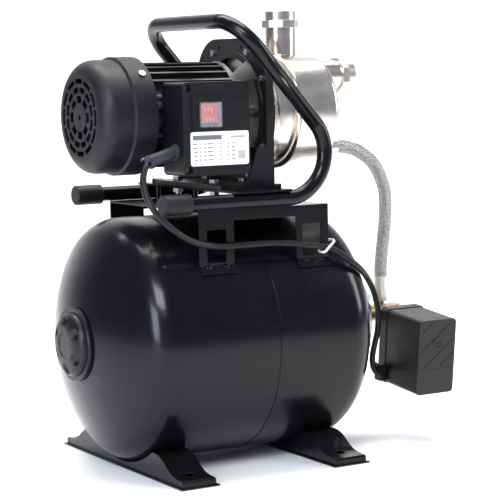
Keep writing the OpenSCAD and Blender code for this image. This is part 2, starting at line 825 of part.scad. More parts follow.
module fan_cover() {
    corner = 18;
    outer = fan_cover_points(0, corner);
    inner = fan_cover_points(fan_cover_wall, corner);
    vents = [[12, 37.5, 43, 17.5, 0], [12, 27.5, 33.8, 12.5, 15], [8, 16, 24, 11, 0]];
    color(GREY_PLASTIC) on_shaft() difference() {
        turn_x() polygon(concat(
            [[0, fan_face_x]], outer,
            [for (i = [len(inner) - 1:-1:0]) inner[i]], [[0, fan_face_x + fan_cover_wall]]
        ));
        for (v = vents, i = [0:v[0] - 1])
            rotate([v[4] + 360 * i / v[0], 0, 0]) translate([fan_face_x - 1, 0, 0])
                rotate([90, 0, 90]) linear_extrude(fan_cover_wall + 2) vent(v[1], v[2], v[3]);
        round_x(fan_face_x - 1, fan_face_x + 5, 3);
        around_x(4, 45) translate([fan_cover_x - 6, 0, fin_r]) cylinder(h = 20, r = 2 + hole_gap);
    }
}

module fan_cover_screws() {
    color(ZINC) on_shaft() around_x(4, 45) translate([fan_cover_x - 6, 0, 0]) {
        translate([0, 0, fan_band_r]) cylinder(h = 2, r = 4);
        translate([0, 0, fan_band_r - fan_cover_wall - 3]) cylinder(h = fan_cover_wall + 3, r = 2);
    }
}

module terminal_box_base() {
    color(BLACK_PLASTIC) on_shaft() {
        difference() {
            extrude_y(box_joint_y, box_back_y)
                rounded_rect([box_x[0], box_z[0]], [box_x[1], box_z[1]], 5);
            extrude_y(box_joint_y - 1, box_back_y - box_wall)
                rounded_rect([box_x[0], box_z[0]] + [box_wall, box_wall],
                    [box_x[1], box_z[1]] - [box_wall, box_wall], 3);
        }
        for (z = screw_z) translate([screw_x, box_back_y - box_wall + eps, z]) rotate([90, 0, 0])
            difference() {
                cylinder(h = box_base_d - box_wall, r = 4.5);
                translate([0, 0, 1]) cylinder(h = box_base_d, r = 1.6);
            }
    }
}

module terminal_box_cover() {
    well = 12;
    color(BLACK_PLASTIC) on_shaft() difference() {
        union() {
            difference() {
                extrude_y(box_front_y, box_joint_y)
                    rounded_rect([box_x[0], box_z[0]], [box_x[1], box_z[1]], 5);
                extrude_y(box_front_y + box_wall, box_joint_y + 1)
                    rounded_rect([box_x[0], box_z[0]] + [box_wall, box_wall],
                        [box_x[1], box_z[1]] - [box_wall, box_wall], 3);
            }
            for (z = screw_z) translate([screw_x, box_joint_y, z]) rotate([90, 0, 0])
                cylinder(h = box_cover_d - 1, r = 6);
        }
        for (z = screw_z) translate([screw_x, box_joint_y, z]) rotate([90, 0, 0]) {
            translate([0, 0, box_cover_d - well]) cylinder(h = well + 1, r = 4.2);
            translate([0, 0, -1]) cylinder(h = box_cover_d, r = 2);
        }
        translate([switch_x - switch_w / 2, box_front_y - 1, switch_z - switch_h / 2])
            cube([switch_w, box_wall + 2, switch_h]);
        translate([relief_at[0], relief_at[1], relief_at[2]]) round_x(-1, 10, 5 + fit_gap);
    }
}

module cover_screws() {
    well = 12;
    color(GREY_PLASTIC) on_shaft() for (z = screw_z)
        translate([screw_x, box_joint_y, z]) rotate([90, 0, 0]) {
            translate([0, 0, box_cover_d - well]) cylinder(h = 3, r = 3.8);
            translate([0, 0, -8]) cylinder(h = box_cover_d - well + 8 + eps, r = 1.55);
        }
}

module capacitor() {
    color("ivory") on_shaft() translate([box_x[1] - 22, box_joint_y - 15, box_z[0] + 8])
        cylinder(h = 70, r = 13);
}

module switch_housing() {
    body = [switch_w - 0.2, switch_h - 0.2];
    inside = body - [2.4, 2.4];
    back_y = box_front_y + 24;
    rim_low = [switch_x - 22, switch_z - switch_h / 2 - 1.5];
    rim_high = [switch_x + 22, switch_z + switch_h / 2 + 7];
    centre = [switch_x, switch_z];
    color(BLACK_PLASTIC) on_shaft() difference() {
        union() {
            extrude_y(box_front_y - 1.2, box_front_y) difference() {
                rounded_rect(rim_low, rim_high, 2);
                rounded_rect(centre - [switch_w, switch_h] / 2, centre + [switch_w, switch_h] / 2, 1);
            }
            extrude_y(box_front_y - 0.6, box_front_y) difference() {
                rounded_rect(centre - [switch_w, switch_h] / 2 - [0.5, 0.5],
                    centre + [switch_w, switch_h] / 2 + [0.5, 0.5], 1);
                rounded_rect(centre - body / 2 + [0.3, 0.3], centre + body / 2 - [0.3, 0.3], 1);
            }
            extrude_y(box_front_y - 0.6, back_y) rounded_rect(centre - body / 2, centre + body / 2, 1);
        }
        extrude_y(box_front_y - 2, box_front_y + 2)
            rounded_rect(centre - body / 2 + [0.6, 0.6], centre + body / 2 - [0.6, 0.6], 1);
        extrude_y(box_front_y - 2, back_y - 2)
            rounded_rect(centre - inside / 2, centre + inside / 2, 1);
        translate([0, pivot_y, switch_z])
            round_x(switch_x - switch_w, switch_x + switch_w, 1.5 + 0.06);
    }
}

// Rest is with the lower half pressed in; it tips about its pins along X
module rocker() {
    half = 10.4;
    pin_half = switch_w / 2 - 0.5;
    color([0.8, 0.1, 0.1]) on_shaft() translate([switch_x, pivot_y, switch_z]) {
        rotate([-rocker_throw / 2, 0, 0]) translate([-10, 0, 0]) rotate([90, 0, 90])
            linear_extrude(20) polygon([[-6.5, 0], [-8.5, half], [0, half], [4, 0],
                [0, -half], [-8.5, -half]]);
        round_x(-pin_half, pin_half, 1.5);
    }
}

module switch_boot() {
    outer = [switch_w, switch_h] - [1.5, 1.5];
    centre = [switch_x, switch_z];
    color([0.85, 0.85, 0.9, 0.4]) on_shaft() difference() {
        extrude_y(box_front_y - boot_out, box_front_y + 2)
            rounded_rect(centre - outer / 2, centre + outer / 2, 1.5);
        extrude_y(box_front_y - boot_out + boot_wall, box_front_y + 3)
            rounded_rect(centre - outer / 2 + [boot_wall, boot_wall],
                centre + outer / 2 - [boot_wall, boot_wall], 1);
    }
}

module rating_label() {
    low = [box_x[0] + 8.3, box_z[0] + 11];
    color("white") on_shaft() extrude_y(box_front_y - 0.4, box_front_y)
        rounded_rect(low, low + [73, 37], 3);
}

module strain_relief() {
    color(GREY_PLASTIC) on_shaft() translate(relief_at) {
        round_x(-3, 0, 9);
        round_x(-1, 7, 5);
        translate([-2, 0, 0]) rotate([0, 0, relief_yaw]) rotate([0, -90 - relief_pitch, 0])
            cylinder(h = relief_len - 2, r = 7);
        rotate([0, 0, relief_yaw]) rotate([0, -90 - relief_pitch, 0])
            translate([0, 0, relief_len - 4]) cylinder(h = 3, r = 7.8);
    }
}

module power_cord() {
    color(RUBBER) route_tube(CORD, cord_d, 10);
}

module lantern() {
    wall_t = 3;
    ring_r = body_bolt_circle - 9;
    foot_z = -shaft_h;
    corner_z = lantern_top - lantern_corner;
    corner_y = lantern_half_w - lantern_corner;
    rear_end = lantern_rear_x + lantern_rear_t;
    front_x = lantern_flange_x + lantern_flange_t;
    rib_t = 5;
    color(BLACK_PAINT) on_shaft() difference() {
        union() {
            round_x(lantern_rear_x, rear_end, fin_r - 1);
            round_x(front_bearing_x - 2, lantern_rear_x + eps, bearing_r + 5);
            turn_x() polygon([[fin_r - 1, rear_end - 3], [ring_r + 2, lantern_flange_x + 2],
                [ring_r - 4, lantern_flange_x + 4], [fin_r - 9, rear_end - 1]]);
            translate([lantern_flange_x, 0, 0]) rotate([90, 0, 90]) linear_extrude(lantern_flange_t)
                difference() {
                    union() {
                        translate([-lantern_half_w, foot_z])
                            square([2 * lantern_half_w, corner_z - foot_z]);
                        translate([-corner_y, 0]) square([2 * corner_y, lantern_top]);
                        for (y = [-1, 1]) translate([y * corner_y, corner_z])
                            circle(lantern_corner);
                    }
                    circle(ring_r);
                }
            translate([-26, -lantern_half_w, foot_z]) cube([front_x + 26, 2 * lantern_half_w, 5]);
            for (side = [0, 1]) mirror([0, side, 0])
                translate([0, -lantern_half_w + rib_t, 0]) rotate([90, 0, 0]) linear_extrude(rib_t)
                    polygon([[lantern_flange_x + 1, 3], [8, foot_z + 4], [lantern_flange_x + 1, foot_z + 4]]);
        }
        for (a = [0:90:270]) rotate([a, 0, 0])
            translate([rear_end - 0.6, -38, 30]) cube([lantern_flange_x - rear_end + 0.2, 76, 50]);
        round_x(front_bearing_x - 3, motor_front, bearing_r + touch_gap);
        round_x(motor_front - 1, rear_end + 1, shaft_r + 1);
        around_x(4, 45) translate([0, 0, (stator_r + housing_r) / 2])
            round_x(lantern_rear_x - 1, rear_end + 1, 2 + hole_gap);
        at_body_bolts()
            round_x(lantern_flange_x - 1, front_x + 1, 3 + hole_gap);
        for (a = [-19, 19]) rotate([a, 0, 0]) translate([0, 0, body_bolt_circle])
            round_x(lantern_flange_x - 1, lantern_flange_x + 5, 2.2);
        for (x = foot_bolt_x, y = [-1, 1])
            translate([x, y * foot_bolt_y, foot_z - 1]) cylinder(h = 7, r = 3.5 + hole_gap);
    }
}

module lantern_bolts() {
    head_x = lantern_rear_x + lantern_rear_t;
    color(ZINC) on_shaft() around_x(4, 45) translate([0, 0, (stator_r + housing_r) / 2])
        bolt_x(head_x, head_x - 16, 1.95, 3, 7);
}

module body_bolts() {
    back_x = body_x + body_flange_t;
    color(ZINC) on_shaft() at_body_bolts() {
        bolt_x(lantern_flange_x, back_x + 7, 3, 3, 7);
        hex_x(back_x, back_x + 5, 10);
    }
}

module seal_plate() {
    color(STEEL) on_shaft() difference() {
        round_x(seal_plate_x, body_x, body_flange_r - 1, 13);
        at_body_bolts()
            round_x(seal_plate_x - 1, body_x + 1, 3 + hole_gap);
    }
}

module seal_seat() {
    color("ivory") on_shaft()
        round_x(seal_plate_x - 3, body_x, 13 - fit_gap, shaft_r + 0.7);
}

module seal_ring() {
    color([0.2, 0.2, 0.22]) on_shaft()
        round_x(body_x + 0.1, impeller_x - eps, 11.5, shaft_r - 1.5 + fit_gap);
}

module impeller() {
    eye_r = 18;
    last = impeller_x + impeller_w;
    color(STEEL) on_shaft() difference() {
        union() {
            round_x(impeller_x, impeller_x + 2, impeller_r);
            round_x(last - 2, last, impeller_r, eye_r);
            round_x(impeller_x, last - 0.5, 12);
            around_x(6) translate([impeller_x + 1, 0, eye_r - 2]) rotate([-35, 0, 0])
                translate([0, -1, 0]) cube([impeller_w - 2, 2, 32]);
        }
        round_x(impeller_x - 1, last + 1, shaft_r - 1.5 + fit_gap);
    }
}

module diffuser() {
    x0 = impeller_x + impeller_w + 1;
    x1 = drum_x - 4;
    rim_r = neck_r - body_wall - 1.5;
    color(GREY_PLASTIC) on_shaft() {
        round_x(x0, x1, rim_r, rim_r - 2);
        round_x(x1 - 2, x1, rim_r, 16);
        around_x(6) translate([x1 - 8, -1, 22]) cube([7, 2, rim_r - 23]);
    }
}

module ejector() {
    x0 = drum_x - 4;
    x1 = face_x - 6;
    color(GREY_PLASTIC) on_shaft() {
        turn_x() polygon([[12, x0], [18, x0], [14, x0 + 14], [12, x1 - 18], [8, x1 - 18],
            [8, x0 + 20]]);
        round_x(x1 - 12, x1, 12, 4);
        around_x(3) translate([x1 - 20, -1.5, 9]) cube([10, 3, 3]);
    }
}

module body_o_ring() {
    color(RUBBER) on_shaft() turn_x() translate([63, body_x + 1.3]) circle(1.2, $fn = 32);
}

// The body's half outline inset by t: neck, shoulder, drum and rounded face
function body_points(t) = concat(
    [[neck_r - t, body_x + body_flange_t - 1], [neck_r - t, drum_x + (t > 0 ? t : 0)]],
    [for (a = [0:15:90]) [drum_r - 6 + (6 - t) * sin(a), drum_x + 6 - (6 - t) * cos(a)]],
    [for (a = [0:15:90]) [drum_r - drum_corner + (drum_corner - t) * cos(a),
        face_x - drum_corner + (drum_corner - t) * sin(a)]],
    [[0, face_x - t]]
);

module pump_body() {
    outer = body_points(0);
    inner = body_points(body_wall);
    color(STEEL) on_shaft() difference() {
        union() {
            round_x(body_x, body_x + body_flange_t, body_flange_r);
            turn_x() polygon(concat([[0, body_x + body_flange_t - 1]], outer));
            translate([outlet_x, 0, drum_r - 12]) cylinder(h = pipe_top - drum_r + 12, r = port_r);
            translate([0, 0, inlet_h]) round_x(face_x - 3, pipe_end_x, port_r);
            translate([0, 0, hose_port_z]) round_x(face_x - 3, face_x + 3, 9);
        }
        turn_x() polygon(concat([[0, body_x - 1], [neck_r - body_wall, body_x - 1]], inner));
        round_x(body_x - 1, body_x + 2.5, 64.5, 61.5);
        at_body_bolts()
            round_x(body_x - 1, body_x + body_flange_t + 1, 3 + hole_gap);
        translate([outlet_x, 0, 20]) cylinder(h = pipe_top, r = port_r - port_wall);
        translate([0, 0, inlet_h]) round_x(face_x - 10, pipe_end_x + 1, port_r - port_wall);
        translate([0, 0, hose_port_z]) round_x(face_x - 10, face_x + 4, 5 + fit_gap);
    }
}

// A port adaptor along +Z: a spigot, an eight-sided collar and a threaded mouth
module adaptor() {
    spigot = 9;
    collar_h = 8.5;
    mouth_h = 10.5;
    color(ZINC) difference() {
        union() {
            translate([0, 0, -spigot]) cylinder(h = spigot + eps, r = port_r - port_wall - fit_gap);
            rotate([0, 0, 22.5]) cylinder(h = collar_h, r = (port_r + 2) / cos(22.5), $fn = 8);
            cylinder(h = collar_h + mouth_h, r = port_r);
        }
        translate([0, 0, -spigot - 1]) cylinder(h = spigot + collar_h + mouth_h + 2, r = port_thread_r);
    }
}

module outlet_adaptor() {
    on_shaft() translate([outlet_x, 0, pipe_top]) adaptor();
}

module inlet_adaptor() {
    on_shaft() translate([pipe_end_x, 0, inlet_h]) rotate([0, 90, 0]) adaptor();
}

module hose_fittings() {
    color(ZINC) {
        on_shaft() translate([0, 0, hose_port_z]) {
            round_x(face_x - 4, face_x + 4, 5);
            hex_x(face_x + 3, face_x + 15, 19);
            round_x(face_x + 15 - eps, face_x + 35, 8.6);
        }
        translate([hose_x, 0, tank_axis_h]) {
            translate([0, 0, 4]) cylinder(h = 11.5, r = 5);
            translate([0, 0, 15]) cylinder(h = 12, r = 14 / sqrt(3), $fn = 6);
            translate([0, 0, 27 - eps]) cylinder(h = 18, r = 8.4);
        }
    }
}

module braided_hose() {
    color(STEEL) route_tube(HOSE, hose_d, 12);
}

module five_way_connector() {
    color(BRASS) difference() {
        union() {
            translate([0, 0, tank_axis_h]) {
                round_x(connector_x - 2, connector_x + 15, water_nipple_r + 4);
                round_x(connector_x + 14, connector_end_x, connector_r);
            }
            translate([pswitch_x, 0, tank_axis_h]) rotate([90 + switch_droop, 0, 0])
                cylinder(h = side_boss, r = 9);
        }
        translate([0, 0, tank_axis_h]) {
            round_x(connector_x - 3, connector_x + 12, water_nipple_r + fit_gap);
            round_x(connector_x, connector_end_x + 1, 7);
        }
        translate([hose_x, 0, tank_axis_h]) cylinder(h = 20, r = 5 + fit_gap);
        translate([pswitch_x, 0, tank_axis_h]) rotate([90 + switch_droop, 0, 0])
            cylinder(h = side_boss + 1, r = 6 + fit_gap);
    }
}

module connector_fittings() {
    color(BRASS) {
        translate([pswitch_x, 0, tank_axis_h]) rotate([90 + switch_droop, 0, 0]) {
            translate([0, 0, side_boss - 9]) cylinder(h = 25, r = 6);
            translate([0, 0, side_boss]) cylinder(h = nipple_hex, r = 17 / sqrt(3), $fn = 6);
        }
        translate([0, 0, tank_axis_h]) {
            round_x(connector_end_x - 8, connector_end_x + 1, 7 - fit_gap);
            hex_x(connector_end_x, connector_end_x + 7, 17);
        }
    }
}

// Places children in the pressure switch's own frame, with its port at the origin
module on_pswitch() {
    translate([pswitch_x, 0, tank_axis_h]) rotate([switch_droop, 0, 0])
        translate([0, -pswitch_back, 0]) children();
}

pswitch_low = [-pswitch_w / 2, pswitch_top - pswitch_h];
pswitch_high = [pswitch_w / 2, pswitch_top];

module pressure_switch_base() {
    color(BLACK_PLASTIC) on_pswitch() difference() {
        extrude_y(-pswitch_base_d, 0) rounded_rect(pswitch_low - [1, 1], pswitch_high + [1, 1], 5);
        extrude_y(-pswitch_base_d - 1, -3)
            rounded_rect(pswitch_low + [2, 2], pswitch_high - [2, 2], 3);
        rotate([90, 0, 0]) translate([0, 0, -1]) cylinder(h = 10, r = 6 + fit_gap);
    }
}

module pressure_switch_cover() {
    front = -pswitch_base_d - pswitch_cover_d;
    groove_w = 0.9;
    // Where each slanting groove starts, and its length
    grooves = [[-23, -2, 21], [-24, -25, 52], [-18, -44, 54], [5, -43, 26]];
    color(BLACK_PLASTIC) on_pswitch() difference() {
        extrude_y(front, -pswitch_base_d) rounded_rect(pswitch_low, pswitch_high, 5);
        extrude_y(front + 2, -pswitch_base_d + 1)
            rounded_rect(pswitch_low + [2, 2], pswitch_high - [2, 2], 3);
        for (g = grooves) translate([g[0], front - 1, g[1]]) rotate([0, -39, 0])
            cube([g[2], 1.6, groove_w]);
        translate([pswitch_low[0] + 3, front - 1, -46]) cube([pswitch_w - 6, 1.5, groove_w]);
        translate([0, front - 1, screw_h]) rotate([-90, 0, 0]) cylinder(h = 1.6, r = 6.5);
        translate([0, front - 1, screw_h]) rotate([-90, 0, 0]) cylinder(h = 5, r = 2.6);
    }
}

module switch_screw_and_gland() {
    front = -pswitch_base_d - pswitch_cover_d;
    color(GREY_PLASTIC) on_pswitch() {
        translate([0, front + 0.6 - touch_gap, screw_h]) rotate([90, 0, 0]) difference() {
            union() {
                cylinder(h = 0.8, r = 5.4);
                translate([0, 0, -20]) cylinder(h = 20 + eps, r = 2.5);
            }
            translate([-4, -0.6, 0.2]) cube([8, 1.2, 1]);
        }
        translate([pswitch_low[0] - 1, gland_y, gland_h]) {
            translate([-5, -6, -8]) cube([5 - touch_gap, 12, 16]);
            rotate([0, -gland_tilt, 0]) translate([0, 0, 6]) cylinder(h = gland_out - 6, r = 5.4);
        }
    }
}

tank_left_shell();
tank_right_shell();
girth_weld();
bladder();
water_flange();
water_flange_bolts();
air_valve();
air_valve_pin();
valve_cover();
left_foot();
right_foot();
saddle_bracket();
handle_frame();
near_rail_cap();
far_rail_cap();
mounting_plate();
frame_bolts();
motor_foot_bolts();
zip_tie();
motor_housing();
stator_core();
stator_windings();
rotor_core();
motor_shaft();
rear_bearing();
front_bearing();
rear_end_shield();
cooling_fan();
fan_cover();
fan_cover_screws();
terminal_box_base();
terminal_box_cover();
cover_screws();
capacitor();
switch_housing();
rocker();
switch_boot();
rating_label();
strain_relief();
power_cord();
lantern();
lantern_bolts();
body_bolts();
seal_plate();
seal_seat();
seal_ring();
impeller();
diffuser();
ejector();
body_o_ring();
pump_body();
outlet_adaptor();
inlet_adaptor();
hose_fittings();
braided_hose();
five_way_connector();
connector_fittings();
pressure_switch_base();
pressure_switch_cover();
switch_screw_and_gland();
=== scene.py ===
import json
import math

import bmesh
import bpy
from mathutils import Matrix, Vector


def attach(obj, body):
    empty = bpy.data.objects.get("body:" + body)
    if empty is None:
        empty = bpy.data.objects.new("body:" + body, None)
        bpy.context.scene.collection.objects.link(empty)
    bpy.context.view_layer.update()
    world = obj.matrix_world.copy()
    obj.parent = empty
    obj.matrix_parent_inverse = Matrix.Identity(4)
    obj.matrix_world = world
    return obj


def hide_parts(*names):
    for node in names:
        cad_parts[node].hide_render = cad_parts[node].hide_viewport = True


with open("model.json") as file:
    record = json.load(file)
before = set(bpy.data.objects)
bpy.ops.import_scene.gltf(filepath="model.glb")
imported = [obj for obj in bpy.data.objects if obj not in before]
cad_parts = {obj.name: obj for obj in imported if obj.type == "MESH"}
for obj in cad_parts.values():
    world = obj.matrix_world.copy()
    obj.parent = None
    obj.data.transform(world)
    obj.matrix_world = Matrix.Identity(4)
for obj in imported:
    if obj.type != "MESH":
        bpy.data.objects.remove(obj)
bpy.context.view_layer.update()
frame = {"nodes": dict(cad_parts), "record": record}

RECORD = frame["record"]
BODY_OF = {node: body for body, nodes in RECORD["behaviour"]["bodies"].items() for node in nodes}
SLOT_OF = {part["node"]: part["material_slot"] for part in RECORD["subparts"]}

# Heights and places that several pieces share, in millimetres
TANK_Z = 145
TANK_R = 138
BRACKET_SHEET = 1.9
WELD_X = (-60, -38, 65, 85)
WELD_Y = 106
WELD_Z = 229.5

# The rocker and the label's print, in metres
ROCKER_LEFT = -0.0551
ROCKER_MIDDLE_Z = 0.3975
MARK_PITCHES_PER_METRE = 245
PRINT_ROWS_PER_METRE = 230


def mm(*values):
    """A point in metres from its millimetres."""
    return Vector(values) * 0.001


# ---------------------------------------------------------------- camera

CAMERA_AT = mm(-1009.4, -1803.5, 449.4)
YAW, PITCH, ROLL = (math.radians(a) for a in (30.588, 5.8505, -1.066))


def make_camera():
    """A long lens at the photograph's angle."""
    ahead = Vector((math.sin(YAW) * math.cos(PITCH), math.cos(YAW) * math.cos(PITCH), -math.sin(PITCH)))
    level = Vector((math.cos(YAW), -math.sin(YAW), 0))
    above = level.cross(ahead)
    right = math.cos(ROLL) * level + math.sin(ROLL) * above
    up = -math.sin(ROLL) * level + math.cos(ROLL) * above
    data = bpy.data.cameras.new("camera")
    data.sensor_width = 36
    data.lens = 129.4
    data.clip_start = 0.1
    data.clip_end = 50
    camera = bpy.data.objects.new("camera", data)
    turn = Matrix((right, up, -ahead)).transposed().to_4x4()
    camera.matrix_world = Matrix.Translation(CAMERA_AT) @ turn
    bpy.context.collection.objects.link(camera)
    bpy.context.scene.camera = camera


make_camera()

# ---------------------------------------------------------------- materials


class Shader:
    """A material round one Principled shader, with short names for the nodes used here."""

    def __init__(self, name):
        self.material = bpy.data.materials.new(name)
        self.material.use_nodes = True
        self.tree = self.material.node_tree
        self.out = self.tree.nodes["Principled BSDF"]
        self.coords = self.add("ShaderNodeTexCoord").outputs["Object"]
        self.height = None

    def add(self, kind, **settings):
        node = self.tree.nodes.new(kind)
        for key, value in settings.items():
            setattr(node, key, value)
        return node

    def link(self, source, target):
        self.tree.links.new(source, target)

    def scaled(self, scale):
        node = self.add("ShaderNodeMapping")
        self.link(self.coords, node.inputs["Vector"])
        node.inputs["Scale"].default_value = scale
        return node.outputs[0]

    def noise(self, scale, detail=3.0, roughness=0.5, stretch=(1, 1, 1)):
        node = self.add("ShaderNodeTexNoise")
        self.link(self.scaled(stretch), node.inputs["Vector"])
        node.inputs["Scale"].default_value = scale
        node.inputs["Detail"].default_value = detail
        node.inputs["Roughness"].default_value = roughness
        return node.outputs["Fac"]

    def cells(self, scale, stretch=(1, 1, 1)):
        node = self.add("ShaderNodeTexVoronoi")
        self.link(self.scaled(stretch), node.inputs["Vector"])
        node.inputs["Scale"].default_value = scale
        return node.outputs["Distance"]

    def spread(self, value, low, high, start=0.3, end=0.7):
        node = self.add("ShaderNodeMapRange")
        self.link(value, node.inputs["Value"])
        for key, number in (("From Min", start), ("From Max", end), ("To Min", low), ("To Max", high)):
            node.inputs[key].default_value = number
        return node.outputs[0]

    def math(self, operation, a, b=None):
        node = self.add("ShaderNodeMath", operation=operation)
        for socket, value in zip(node.inputs, (a, b)):
            if isinstance(value, (int, float)):
                socket.default_value = value
            elif value is not None:
                self.link(value, socket)
        return node.outputs[0]

    def blend(self, factor, first, second):
        node = self.add("ShaderNodeMix", data_type="RGBA")
        self.link(factor, node.inputs["Factor"])
        for socket, value in ((node.inputs["A"], first), (node.inputs["B"], second)):
            if hasattr(value, "is_linked"):
                self.link(value, socket)
            else:
                socket.default_value = (*value, 1)
        return node.outputs["Result"]

    def bump(self, value, distance, strength=1.0):
        node = self.add("ShaderNodeBump")
        node.inputs["Strength"].default_value = strength
        node.inputs["Distance"].default_value = distance
        self.link(value, node.inputs["Height"])
        if self.height is not None:
            self.link(self.height, node.inputs["Normal"])
        self.height = node.outputs[0]
        self.link(self.height, self.out.inputs["Normal"])

    def upward(self):
        """How far a surface faces up, from 0 to 1."""
        normal = self.add("ShaderNodeNewGeometry").outputs["Normal"]
        split = self.add("ShaderNodeSeparateXYZ")
        self.link(normal, split.inputs[0])
        return self.spread(split.outputs["Z"], 0, 1, 0.35, 1)

    def constants(self, **values):
        for key, value in values.items():
            self.out.inputs[key.replace("_", " ")].default_value = value


def shade(base, speckle):
    return tuple(min(1, c * speckle) for c in base)


def surface(name, base, rough, rough_span=0.06, metal=0.0, mottle=0.25, mottle_scale=22, dust=0.0,
            dust_colour=(0.32, 0.31, 0.3), **values):
    """A finish with mottled colour, uneven roughness and, on upward faces, settled dust."""
    s = Shader(name)
    patches = s.noise(mottle_scale, 4)
    colour = s.blend(s.spread(patches, 0, 1), shade(base, 1 - mottle), shade(base, 1 + mottle))
    if dust:
        settled = s.math("MULTIPLY", s.upward(), s.spread(s.noise(60, 6, 0.7), 0, dust, 0.4, 0.75))
        colour = s.blend(settled, colour, dust_colour)
    s.link(colour, s.out.inputs["Base Color"])
    s.link(s.spread(s.noise(mottle_scale * 2.3, 5, 0.6), rough - rough_span, rough + rough_span),
           s.out.inputs["Roughness"])
    s.constants(Metallic=metal, **values)
    return s


def gloss_paint(name, base, rough, peel=0.00003, coat=0.14):
    s = surface(name, base, rough, 0.035, mottle=0.2, dust=0.012, Specular_IOR_Level=0.2,
                Coat_Weight=coat, Coat_Roughness=0.1)
    s.bump(s.noise(420, 2), peel)
    s.bump(s.noise(70, 3), peel * 3)
    return s.material


def cast_paint(name):
    s = surface(name, (0.0045, 0.0046, 0.006), 0.4, 0.08, mottle=0.3, dust=0.02,
                Specular_IOR_Level=0.4, Coat_Weight=0.1, Coat_Roughness=0.25)
    s.bump(s.noise(650, 4, 0.65), 0.00012)
    s.bump(s.noise(120, 3), 0.0001)
    return s.material


def moulded(name, base, rough, grain=1500, depth=0.00005, dust=0.015):
    s = surface(name, base, rough, 0.07, mottle=0.14, mottle_scale=35, dust=dust, Specular_IOR_Level=0.35)
    s.bump(s.cells(grain), depth, 0.8)
    s.bump(s.noise(grain * 0.5, 4, 0.6), depth)
    return s.material


def rubber(name, base, rough):
    s = surface(name, base, rough, 0.08, mottle=0.2, mottle_scale=60, dust=0.015, Specular_IOR_Level=0.3)
    s.bump(s.noise(900, 4, 0.6), 0.00005)
    return s.material


def turned_metal(name, base, rough, lines=900, depth=0.00001, stain=0.12, stretch=(1, 0.03, 0.03)):
    """Metal with fine lines round the pump's axis."""
    s = surface(name, base, rough, 0.05, metal=1.0, mottle=stain, mottle_scale=14)
    s.bump(s.noise(lines, 2, 0.5, stretch), depth)
    s.bump(s.noise(160, 4, 0.6), depth * 1.5)
    return s.material


def plated_metal(name, base, rough, depth=0.00003):
    s = surface(name, base, rough, 0.09, metal=1.0, mottle=0.16, mottle_scale=90)
    s.bump(s.noise(1300, 4, 0.6), depth)
    return s.material


def clear_plastic(name, base, rough, ior, alpha):
    s = surface(name, base, rough, 0.04, mottle=0.1, mottle_scale=80, IOR=ior, Alpha=alpha,
                Coat_Weight=0.6, Coat_Roughness=0.1)
    s.bump(s.noise(300, 3), 0.00008)
    return s.material


def lit_rocker(name):
    """Red with two rows of three pale marks."""
    s = surface(name, (0.5, 0.014, 0.012), 0.18, 0.04, mottle=0.1, mottle_scale=80, IOR=1.49,
                Coat_Weight=0.6, Coat_Roughness=0.1)
    s.bump(s.noise(300, 3), 0.00008)
    red = s.out.inputs["Base Color"].links[0].from_socket
    split = s.add("ShaderNodeSeparateXYZ")
    s.link(s.coords, split.inputs[0])
    across = s.math("MULTIPLY", s.math("SUBTRACT", split.outputs["X"], ROCKER_LEFT),
                    MARK_PITCHES_PER_METRE)
    columns = s.math("LESS_THAN", s.math("FRACT", across), 0.4)
    inner = s.math("MULTIPLY", s.math("GREATER_THAN", across, 0), s.math("LESS_THAN", across, 2.5))
    from_middle = s.math("ABSOLUTE", s.math("SUBTRACT", split.outputs["Z"], ROCKER_MIDDLE_Z))
    rows = s.math("LESS_THAN", s.math("ABSOLUTE", s.math("SUBTRACT", from_middle, 0.0055)), 0.0021)
    marks = s.math("MULTIPLY", s.math("MULTIPLY", columns, inner), s.math("MULTIPLY", rows, 0.75))
    s.link(s.blend(marks, red, (0.85, 0.32, 0.22)), s.out.inputs["Base Color"])
    return s.material


def printed_label(name):
    """A white film with grey panels and bars, and no lettering."""
    s = surface(name, (0.78, 0.78, 0.77), 0.32, 0.06, mottle=0.04, mottle_scale=40)
    paper = s.out.inputs["Base Color"].links[0].from_socket
    split = s.add("ShaderNodeSeparateXYZ")
    s.link(s.coords, split.inputs[0])
    x = split.outputs["X"]
    z = split.outputs["Z"]

    def within(value, low, high):
        return s.math("MULTIPLY", s.math("GREATER_THAN", value, low), s.math("LESS_THAN", value, high))

    rows = s.math("LESS_THAN", s.math("FRACT", s.math("MULTIPLY", z, PRINT_ROWS_PER_METRE)), 0.34)
    words = s.math("GREATER_THAN", s.noise(330, 0, 0.5, (1, 1, 0.02)), 0.45)
    columns = s.math("ADD", within(x, -0.071, -0.046), within(x, -0.042, -0.018))
    block = s.math("MULTIPLY", columns, within(z, 0.3465, 0.3665))
    print_area = s.math("MULTIPLY", s.math("MULTIPLY", rows, words), block)
    head = s.math("MULTIPLY", within(x, -0.071, -0.035), within(z, 0.3702, 0.3752))
    side_bar = s.math("MULTIPLY", within(x, -0.024, -0.006), within(z, 0.3716, 0.3738))
    square = s.math("MULTIPLY", within(x, -0.0145, -0.0055), within(z, 0.3485, 0.3575))
    ink = s.math("MAXIMUM", s.math("MULTIPLY", print_area, 0.8), s.math("MULTIPLY", head, 0.92))
    ink = s.math("MAXIMUM", ink, s.math("MULTIPLY", side_bar, 0.6))
    ink = s.math("MAXIMUM", ink, s.math("MULTIPLY", square, 0.5))
    s.link(s.blend(ink, paper, (0.08, 0.09, 0.1)), s.out.inputs["Base Color"])
    s.bump(s.noise(500, 3), 0.00002)
    return s.material


